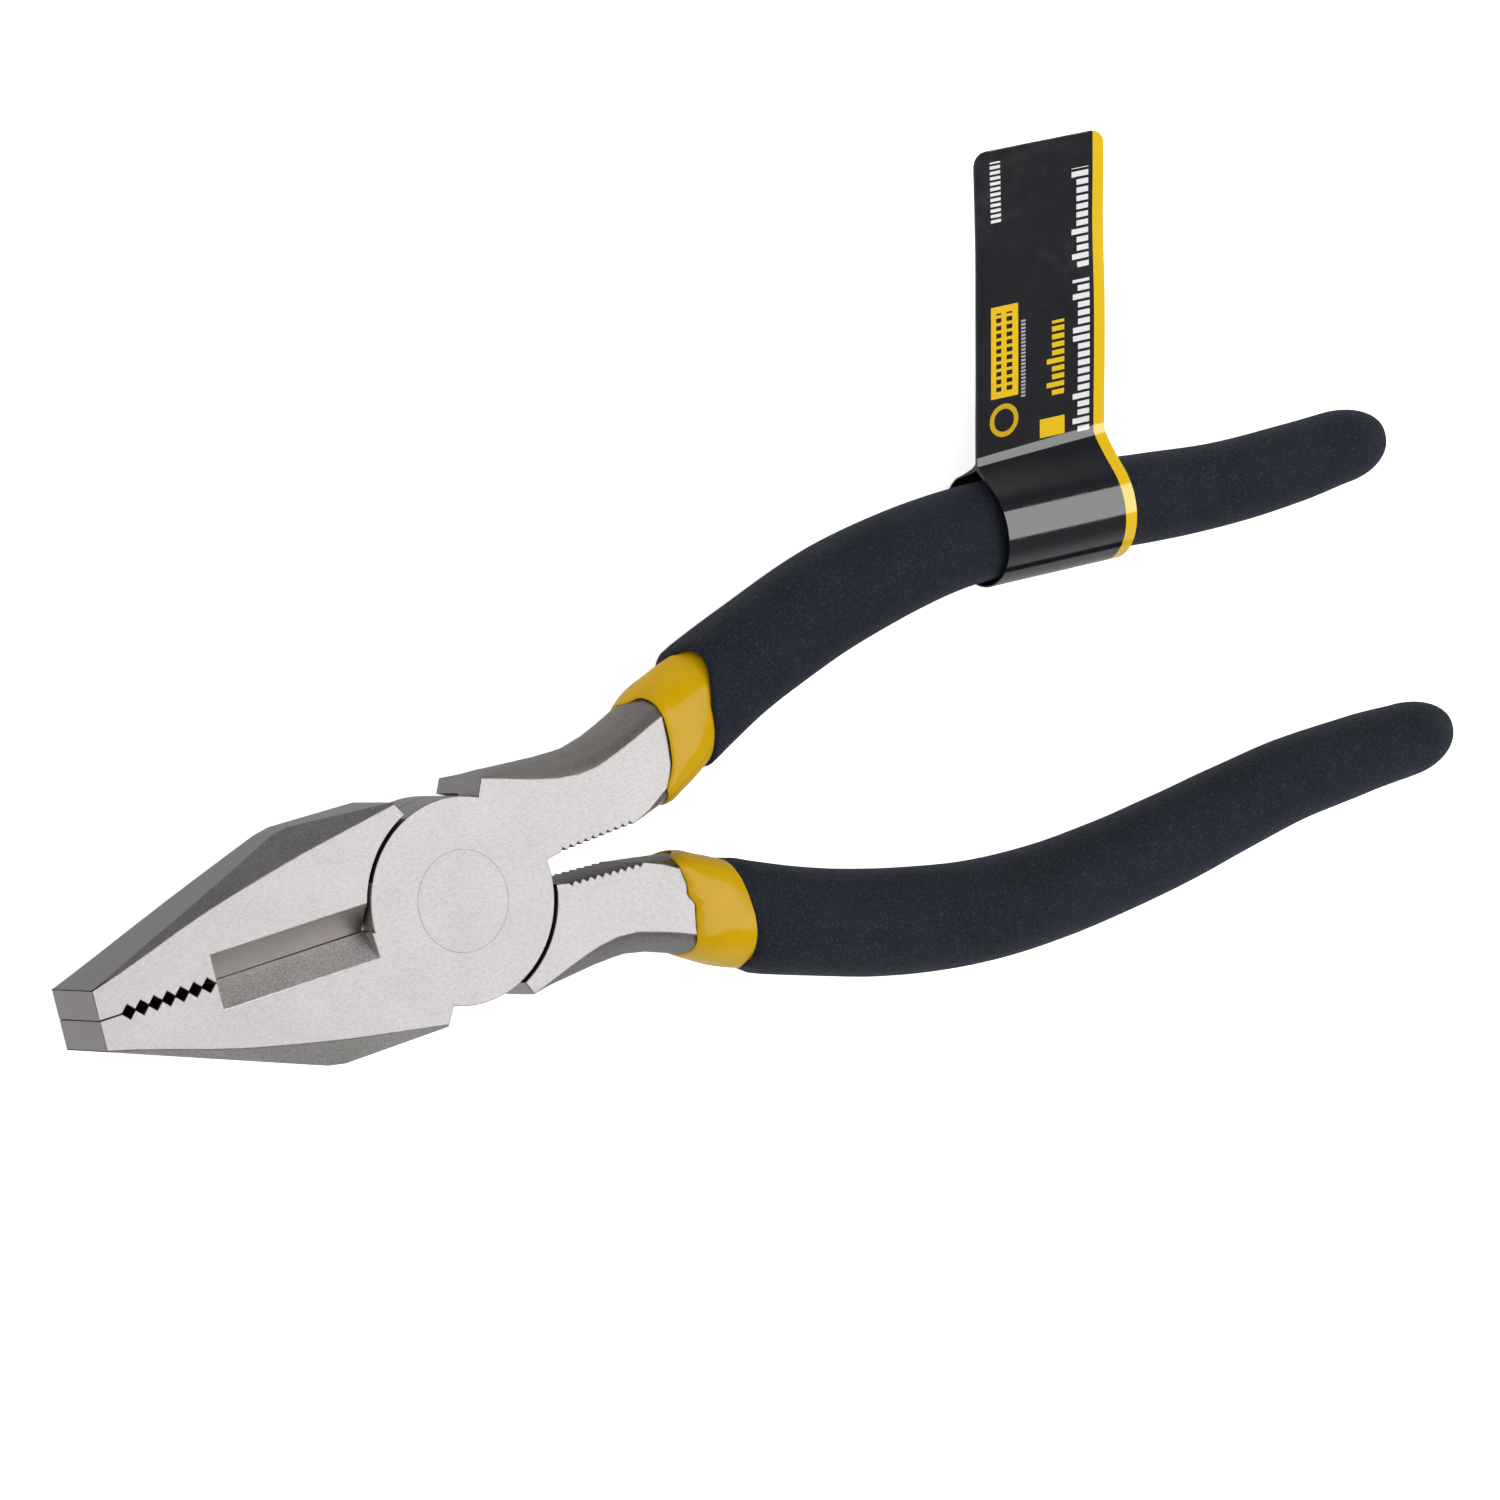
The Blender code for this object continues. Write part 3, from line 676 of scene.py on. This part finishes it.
def make_steel_half(side, finishes, arm):
    node = side + "_half"
    to_half = SIDES[side].inverted()
    bm = bmesh.new()
    bm.from_mesh(frame["nodes"][node].data)
    bare_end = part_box(side + "_dip_coat")[0].x - BARE_STEEL_BEFORE_DIP
    for vertex in bm.verts:
        vertex.co = SIDES[side] @ settle_steel(to_half @ vertex.co, side, bare_end, arm)
    bmesh.ops.remove_doubles(bm, verts=bm.verts, dist=WELD)
    bmesh.ops.dissolve_limit(bm, angle_limit=radians(0.5), verts=bm.verts, edges=bm.edges)
    for face in bm.faces:
        centre = to_half @ face.calc_center_median()
        normal = to_half.to_3x3() @ face.normal
        face.material_index = steel_zone(centre, normal, max(vertex.co.x for vertex in face.verts))
        face.smooth = True
    rounded = []
    for edge in bm.edges:
        zones = {face.material_index for face in edge.link_faces}
        if edge.calc_face_angle() > sharp_angle(zones):
            edge.smooth = False
            if is_rounded(edge, zones):
                rounded.append(edge)
    made = bmesh.ops.bevel(
        bm, geom=rounded, offset=EDGE_ROUNDING, offset_type="OFFSET", segments=2, profile=0.5,
        affect="EDGES", clamp_overlap=False, material=-1,
    )
    strips = set(made["faces"])
    for face in strips:
        face.smooth = True
        middle = face.calc_center_median()
        # The rounding along the boss's face edges gets lighter steel: wear with a painted highlight.
        on_boss = abs(middle.xy.length - BOSS_RADIUS) < 0.15 * MM and middle.x > 0
        if on_boss and HALF_THICKNESS - abs(middle.z - MID_Z) < EDGE_ROUNDING:
            face.material_index = WORN_AND_HIGHLIGHT
        for edge in face.edges:
            if any(beside not in strips for beside in edge.link_faces):
                edge.smooth = False
    half = new_piece(side + "_steel", bm, finishes, [node], Matrix())
    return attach(half, side + "_side")


def make_rivet(surface):
    bm = bmesh.new()
    profile = [
        (RIVET_RADIUS - RIVET_ROUNDING, HALF_THICKNESS),
        (RIVET_RADIUS, HALF_THICKNESS - RIVET_ROUNDING),
    ]
    profile += [(radius, -z) for radius, z in reversed(profile)]
    rows = []
    for radius, z in profile:
        angles = [tau * i / RIVET_SIDES for i in range(RIVET_SIDES)]
        rows.append([bm.verts.new((radius * cos(angle), radius * sin(angle), z)) for angle in angles])
    for near, far in zip(rows, rows[1:]):
        for i in range(RIVET_SIDES):
            bm.faces.new((near[i - 1], near[i], far[i], far[i - 1]))
    bm.faces.new(rows[0])
    bm.faces.new(rows[-1][::-1])
    rivet = new_piece("rivet", bm, [surface], ["pivot_rivet"], SIDES["front"])
    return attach(rivet, "front_side")


# ---- handle sections -----------------------------------------------------------------------------
def points_by_x(node):
    """The vertices of one of the front side's nodes, in that side's frame, grouped by x."""
    to_half = SIDES["front"].inverted()
    rows = {}
    for vertex in frame["nodes"][node].data.vertices:
        point = to_half @ vertex.co
        rows.setdefault(round(point.x, 5), []).append(point)
    return sorted(rows.items())


def grip_outline():
    """Centre line, half width and half height of the grip, as functions of x."""
    centre, width, height = [], [], []
    for x, points in points_by_x("front_grip"):
        if x > GRIP_ROUND_START_X + 2 * NEAR:
            continue
        ys = [point.y for point in points]
        zs = [point.z for point in points]
        centre.append((x, (max(ys) + min(ys)) / 2))
        width.append((x, (max(ys) - min(ys)) / 2))
        height.append((x, (max(zs) - min(zs)) / 2))
    collar_width = in_mm([key[:2] for key in COLLAR_SECTION_MM[:2]])
    return through(in_mm(HANDLE_START_MM) + centre), through(collar_width + width), through(height)


def arm_outline():
    """Steel arm near the collar, by x: face inner, face outer, mid inner and mid outer."""
    rows = [[], [], [], []]
    for x, points in points_by_x("front_half"):
        if not ARM_START_X < x < ARM_OUTLINE_END_X or len(points) < ARM_OUTLINE_ROW:
            continue
        ys = [point.y for point in points]
        on_face = [point.y for point in points if abs(abs(point.z) - HALF_THICKNESS) < CLOSE]
        for row, value in zip(rows, (min(on_face), max(on_face), min(ys), max(ys))):
            row.append((x, value))
    for row in rows:
        (x0, y0), (x1, y1) = row[-2:]
        slope = (y1 - y0) / (x1 - x0)
        row.append((x1 + ARM_OUTLINE_LENGTHENING, y1 + slope * ARM_OUTLINE_LENGTHENING))
    return [through(row) for row in rows]


def polar_arm(x, angle, arm, middle):
    """Distance from the middle to the arm's surface at an angle."""
    face_inner, face_outer, mid_inner, mid_outer = [curve(x) for curve in arm]
    mid_outer -= flattening(x)
    points = []
    for start, flat, bulge in (
        (-pi / 2, face_outer, mid_outer - face_outer),
        (pi / 2, face_inner, face_inner - mid_inner),
    ):
        for i in range(ARM_ROUND_STEPS + 1):
            turn = start + pi * i / ARM_ROUND_STEPS
            points.append((flat + bulge * cos(turn), HALF_THICKNESS * sin(turn)))
    spots = []
    for (y0, z0), (y1, z1) in zip(points, points[1:] + points[:1]):
        spots += [(mix(y0, y1, t), mix(z0, z1, t)) for t in (0, 0.25, 0.5, 0.75)]
    angles = np.array([atan2(z, y - middle) % tau for y, z in spots])
    radii = np.array([sqrt((y - middle) ** 2 + z * z) for y, z in spots])
    order = np.argsort(angles)
    return float(np.interp(angle, angles[order], radii[order], period=tau))


def polar_oval(x, angle, width, height, rounder=0.0):
    """Distance from the middle to the outline of an oval with squarish corners, at an angle."""
    power = through(SQUARENESS)(x / MM) - rounder
    return (abs(cos(angle) / width) ** power + abs(sin(angle) / height) ** power) ** (-1 / power)


def edge_at(keys, side, angle):
    """Front edge in millimetres at an angle round the half's own section, from (angle, x) keys."""
    degrees = (angle / tau * 360 + 180) % 360 - 180
    if side == "rear":
        degrees = -degrees
    return float(np.interp(degrees, [key[0] for key in keys], [key[1] for key in keys]))


def ripple(angle, seed, count):
    """A small smooth unevenness round a section, the same each time."""
    return noise.noise(Vector((cos(angle) * count, sin(angle) * count, seed)))


def skin_spots(edge, lip, end, steps):
    """A skin's rows at one angle, as (x, rise): over its lip, then in even steps to its end."""
    spots = [(edge + shift, rise) for shift, rise in lip]
    start, rise = spots[-1]
    return spots + [(mix(start, end, k / steps), rise) for k in range(1, steps + 1)]


def skin_mesh(rows):
    """A closed mesh over rows of points that go all the way round."""
    bm = bmesh.new()
    made = [[bm.verts.new(point) for point in row] for row in rows]
    for near, far in zip(made, made[1:]):
        for i in range(len(near)):
            bm.faces.new((near[i - 1], near[i], far[i], far[i - 1])).smooth = True
    bm.faces.new(made[0])
    bm.faces.new(made[-1][::-1])
    return bm


# ---- collars --------------------------------------------------------------------------------------
def make_collar(side, surface, outline, arm):
    centre = outline[0]
    width_at = through(in_mm([key[:2] for key in COLLAR_SECTION_MM]))
    height_at = through(in_mm([(key[0], key[2]) for key in COLLAR_SECTION_MM]))
    columns = []
    for i in range(AROUND):
        angle = tau * i / AROUND
        edge_mm = edge_at(COLLAR_EDGE_MM[side], side, angle)
        edge_mm += COLLAR_RIPPLE_MM * ripple(angle, COLLAR_SEEDS[side], COLLAR_RIPPLES)
        column = []
        for x, rise in skin_spots(edge_mm * MM, in_mm(COLLAR_LIP_MM), COLLAR_END_MM * MM, COLLAR_STEPS):
            steel_x = min(x, EXTENSION_FULL_X)
            steel = polar_arm(steel_x, angle, arm, centre(steel_x)) + rise
            rounder = COLLAR_ROUNDER * max(cos(angle), 0) * ease(x / MM, *COLLAR_ROUNDER_MM)
            oval = polar_oval(x, angle, width_at(x), height_at(x), rounder)
            radius = mix(steel, oval, ease(x / MM, *COLLAR_OVAL_MM))
            column.append(Vector((x, centre(x) + radius * cos(angle), radius * sin(angle))))
        columns.append(column)
    bm = skin_mesh(list(zip(*columns)))
    collar = new_piece(side + "_collar", bm, [surface], [side + "_dip_coat"], SIDES[side])
    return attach(collar, side + "_side")


# ---- grips ----------------------------------------------------------------------------------------
def make_grip(side, surface, outline):
    centre, width_at, height_at = outline
    angles = [tau * i / AROUND for i in range(AROUND)]
    seed = GRIP_SEEDS[side]

    def wall(x, angle, width, height):
        """A point of the outer surface, a little uneven."""
        round_section = (cos(angle) * GRIP_LUMPS_AROUND, sin(angle) * GRIP_LUMPS_AROUND + seed)
        lump = noise.noise(Vector((x * GRIP_LUMPS_ALONG, *round_section))) - GRIP_SINKING
        oval = polar_oval(min(x, GRIP_ROUND_START_X), angle, width, height)
        radius = oval + GRIP_UNEVENNESS * lump
        return Vector((x, centre(x) + radius * cos(angle), radius * sin(angle)))

    columns = []
    for angle in angles:
        edge_mm = edge_at(GRIP_EDGE_MM[side], side, angle)
        edge_mm += GRIP_RIPPLE_MM * ripple(angle, seed, GRIP_RIPPLES)
        spots = skin_spots(edge_mm * MM, in_mm(GRIP_LIP_MM), GRIP_ROUND_START_X, GRIP_STEPS)
        columns.append([wall(x, angle, width_at(x) - inset, height_at(x) - inset) for x, inset in spots])
    rows = list(zip(*columns))
    for degrees in range(GRIP_ROUND_STEP, 90, GRIP_ROUND_STEP):
        turn = radians(degrees)
        x = mix(GRIP_ROUND_START_X, HANDLE_END_X, sin(turn))
        rows.append([wall(x, angle, width_at(x) * cos(turn), height_at(x) * cos(turn)) for angle in angles])
    bm = skin_mesh(rows)
    grip = new_piece(side + "_sleeve", bm, [surface], [side + "_grip"], SIDES[side])
    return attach(grip, side + "_side")


# ---- hang tag -------------------------------------------------------------------------------------
# Its own frame has X along the grip, Y from the middle of the loop to the flag and Z up.
def flag_wave(across, along):
    """How far the flag stands off its flat plane, for a spot in metres from the striped edge and the fold."""
    bow = TAG_FLAG_BOW * sin(pi * min(along / TAG_FLAG_LENGTH, 1))
    twist = mix(TAG_TWIST_STRIPE, TAG_TWIST_FAR, across / (2 * TAG_HALF_WIDTH))
    twist *= exp(-(((along - TAG_TWIST_AT) / TAG_TWIST_SPAN) ** 2))
    return ease(along, 0, TAG_FLAT_LENGTH) * (bow + twist)


def flag_end(x):
    """How far the flag goes past the fold, with rounded corners."""
    depth = TAG_HALF_WIDTH - abs(x)
    if depth >= TAG_CORNER:
        return TAG_FLAG_LENGTH
    return TAG_FLAG_LENGTH - TAG_CORNER + sqrt(max(TAG_CORNER ** 2 - (TAG_CORNER - depth) ** 2, 0))


def crease_shift(x):
    """The crease lies slanted across the film, nearer the grip on the side away from the stripe."""
    return mix(TAG_CREASE_FAR, TAG_CREASE_STRIPE, (x + TAG_HALF_WIDTH) / (2 * TAG_HALF_WIDTH))


def film_columns():
    """Places across the film, closer together near its two edges."""
    insets = [inset * MM for inset in TAG_EDGE_SPOTS_MM]
    insets += [mix(TAG_CORNER, TAG_HALF_WIDTH, k / TAG_INNER_STEPS) for k in range(TAG_INNER_STEPS)]
    left = [inset - TAG_HALF_WIDTH for inset in insets]
    return left + [0.0] + [-x for x in reversed(left)]


def film_line(radius, leaf_start, leaf_end, power):
    """A line of the film in the (y, z) plane: from the flag by one leaf, round the loop and back.

    The higher the power, the longer the leaf stays near the flag's plane.
    """
    shares = [i / TAG_LEAF_STEPS for i in range(TAG_LEAF_STEPS)]
    leaf = [
        (mix(leaf_start[0], leaf_end[0], t), mix(leaf_start[1], leaf_end[1], t ** power)) for t in shares
    ]
    turn = (tau - 2 * TAG_LEAF_ANGLE) / TAG_LOOP_STEPS
    angles = [TAG_LEAF_ANGLE + turn * i for i in range(TAG_LOOP_STEPS + 1)]
    loop = [(radius * cos(angle), radius * sin(angle)) for angle in angles]
    return leaf + loop + [(y, -z) for y, z in reversed(leaf)]


class Film:
    """The tag's mesh, made of rows of vertices across the film."""

    def __init__(self):
        self.bm = bmesh.new()
        self.columns = film_columns()
        self.places = {}

    def vertex(self, x, y, z, along):
        made = self.bm.verts.new((x, y, z))
        self.places[made] = (TAG_HALF_WIDTH - x, along)
        return made

    def leaf_rows(self, sign):
        """The flag's upper side for a sign of 1, its lower side for -1, from its end to the crease."""
        rows = []
        for k in range(TAG_FLAG_STEPS):
            row = []
            for x in self.columns:
                y = mix(MEET_Y + crease_shift(x), FOLD_Y + flag_end(x), 1 - k / TAG_FLAG_STEPS)
                z = sign * TAG_FLAG_FILM / 2 + flag_wave(TAG_HALF_WIDTH - x, y - FOLD_Y)
                row.append(self.vertex(x, y, z, y - FOLD_Y if sign > 0 else UNPRINTED))
            rows.append(row)
        return rows

    def ribbon_rows(self, line):
        """The film along a line in the (y, z) plane. Its ends follow the slanted crease."""
        rows = []
        length = 0
        for k, (y, z) in enumerate(line):
            if k:
                length += sqrt((y - line[k - 1][0]) ** 2 + (z - line[k - 1][1]) ** 2)
            share = max((y - LEAF_Y) / (MEET_Y - LEAF_Y), 0)
            row = []
            for x in self.columns:
                shift = share * crease_shift(x)
                wave = flag_wave(TAG_HALF_WIDTH - x, max(y + shift - FOLD_Y, 0))
                row.append(self.vertex(x, y + shift, z + wave, MEET_Y - FOLD_Y - length + shift))
            rows.append(row)
        return rows

    def bridge(self, near, far, index=0, rounded=False):
        """Faces between two rows of vertices."""
        for i in range(len(near) - 1):
            made = self.bm.faces.new((near[i], near[i + 1], far[i + 1], far[i]))
            made.smooth = rounded
            made.material_index = index

    def sheet(self, rows, index):
        for near, far in zip(rows, rows[1:]):
            self.bridge(near, far, index, rounded=True)

    def write_print_map(self):
        print_map = self.bm.loops.layers.uv.new("print")
        for face in self.bm.faces:
            for loop in face.loops:
                loop[print_map].uv = self.places[loop.vert]


def make_tag(surface, inside):
    """One strip of film: round the grip, then two leaves glued into a flag."""
    film = Film()
    front = film.leaf_rows(1)
    back = film.leaf_rows(-1)
    band = film.ribbon_rows(film_line(TAG_LOOP_RADIUS, *OUTER_LEAF))
    lining = film.ribbon_rows(film_line(TAG_LOOP_RADIUS - TAG_FILM, *INNER_LEAF))
    film.sheet(front + band + back[::-1], 0)
    film.sheet(lining, 1)
    film.bridge(front[0], back[0])
    film.bridge(lining[0], lining[-1], 1)
    for column in (0, -1):
        upper = [row[column] for row in front + band[:1]]
        lower = [row[column] for row in back + band[-1:]]
        film.bridge(upper, lower)
        film.bridge([row[column] for row in band], [row[column] for row in lining])
        film.bridge([band[0][column], lining[0][column]], [band[-1][column], lining[-1][column]])
    film.write_print_map()

    along_axis = Vector(JOINTS["tag_swing"]["axis"]).normalized()
    outwards = (FOLD_AT - SWING_AT).normalized()
    upwards = along_axis.cross(outwards)
    place = Matrix.Translation(SWING_AT) @ Matrix((along_axis, outwards, upwards)).transposed().to_4x4()
    tag = new_piece("hang_tag", film.bm, [surface, inside], ["tag_loop", "tag_flag"], place)
    tag.data.set_sharp_from_angle(angle=radians(45))
    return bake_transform(tag)


# ---- studio ---------------------------------------------------------------------------------------
def make_camera():
    data = bpy.data.cameras.new("camera")
    camera = bpy.data.objects.new("camera", data)
    bpy.context.collection.objects.link(camera)
    a, e = CAMERA_AZIMUTH, CAMERA_ELEVATION
    back = Vector((sin(a) * cos(e), -cos(a) * cos(e), sin(e)))
    turn = (-back).to_track_quat("-Z", "Y").to_matrix().to_4x4() @ Matrix.Rotation(CAMERA_ROLL, 4, "Z")
    camera.matrix_world = Matrix.Translation(CAMERA_TARGET + back * CAMERA_DISTANCE) @ turn
    data.lens = CAMERA_LENS_MM
    data.sensor_width = CAMERA_SENSOR_MM
    data.clip_end = 20
    bpy.context.scene.camera = camera


def add_softbox(name, direction, distance, size, radiance):
    """A rectangular light in that direction from its target, facing it."""
    data = bpy.data.lights.new(name, "AREA")
    data.shape = "RECTANGLE"
    data.size, data.size_y = size
    data.energy = radiance * pi * size[0] * size[1]
    light = bpy.data.objects.new(name, data)
    bpy.context.collection.objects.link(light)
    away = Vector(direction).normalized()
    light.location = LIGHT_TARGET + away * distance
    light.rotation_mode = "QUATERNION"
    light.rotation_quaternion = away.to_track_quat("Z", "Y")
    return light


def make_sky():
    """Pale surroundings, brightest round the horizon and brighter towards -Y."""
    world = bpy.data.worlds.new("studio")
    bpy.context.scene.world = world
    world.use_nodes = True
    tree = world.node_tree
    background = tree.nodes["Background"]
    place = tree.nodes.new("ShaderNodeTexCoord")
    split = tree.nodes.new("ShaderNodeSeparateXYZ")
    tree.links.new(place.outputs["Generated"], split.inputs[0])

    spread = tree.nodes.new("ShaderNodeMapRange")
    spread.inputs["From Min"].default_value = -1
    tree.links.new(split.outputs["Z"], spread.inputs["Value"])
    ramp = tree.nodes.new("ShaderNodeValToRGB")
    tree.links.new(spread.outputs["Result"], ramp.inputs["Fac"])
    for position, _ in SKY_STOPS[1:-1]:
        ramp.color_ramp.elements.new(position)
    for element, (_, value) in zip(ramp.color_ramp.elements, SKY_STOPS):
        element.color = (value, value, value, 1)
    tree.links.new(ramp.outputs["Color"], background.inputs["Color"])

    tilt = tree.nodes.new("ShaderNodeMapRange")
    tilt.inputs["From Min"].default_value = -1
    tilt.inputs["To Min"].default_value = 1 + SKY_TILT
    tilt.inputs["To Max"].default_value = 1 - SKY_TILT
    tree.links.new(split.outputs["Y"], tilt.inputs["Value"])
    tree.links.new(tilt.outputs["Result"], background.inputs["Strength"])


def new_prop(name, bm, surface):
    """A piece of the studio, which isn't part of the object."""
    mesh = bpy.data.meshes.new(name)
    bm.to_mesh(mesh)
    bm.free()
    mesh.materials.append(surface)
    prop = bpy.data.objects.new(name, mesh)
    bpy.context.collection.objects.link(prop)
    prop.visible_glossy = False
    return prop


def make_floor():
    bm = bmesh.new()
    half = FLOOR_SIZE / 2
    bm.faces.new([bm.verts.new((x * half, y * half, 0)) for x, y in ((-1, -1), (1, -1), (1, 1), (-1, 1))])
    floor = new_prop("floor", bm, floor_surface())
    floor.location.z = CAD_LOW.z - FLOOR_GAP


def make_backdrop():
    """A pale dome, seen only by the camera, so that low views have a plain background."""
    bm = bmesh.new()
    bmesh.ops.create_uvsphere(bm, u_segments=64, v_segments=32, radius=BACKDROP_RADIUS)
    dome = new_prop("backdrop", bm, backdrop_surface())
    dome.visible_diffuse = dome.visible_shadow = False


def make_studio():
    make_camera()
    make_sky()
    make_floor()
    make_backdrop()
    add_softbox("overhead", direction=(0.5, -0.015, 0.86), distance=1.1, size=(0.96, 0.74), radiance=3.3)
    fill = add_softbox("fill", direction=(-0.3, 0.1, 1.0), distance=2.2, size=(3.0, 3.0), radiance=1.55)
    fill.visible_glossy = False
    bpy.context.scene.view_settings.view_transform = "Standard"


# ---- assembly ---------------------------------------------------------------------------------------
def make_pliers():
    steels = {name: steel_surface(name, **finish) for name, finish in STEEL_FINISHES.items()}
    yellow = yellow_dip_surface()
    black = black_grip_surface()
    outline = grip_outline()
    arm = arm_outline()
    for side in SIDES:
        names = (
            # Each side gets its own arm and cutter steel, as painted shading: the rear side's arm and cutter
            # are painted darker, the front side's cutter lighter.
            "steel_ground", "steel_flank", "steel_forged", side + "_arm_painted_shading", side + "_cutter_painted_shading",
            "steel_painted_shade", "steel_worn_and_painted_highlight",
        )
        make_steel_half(side, [steels[name] for name in names], arm)
        make_collar(side, yellow, outline, arm)
        make_grip(side, black, outline)
    make_rivet(steels["rivet_steel"])
    make_tag(tag_surface(), film_inside_surface())


make_pliers()
make_studio()
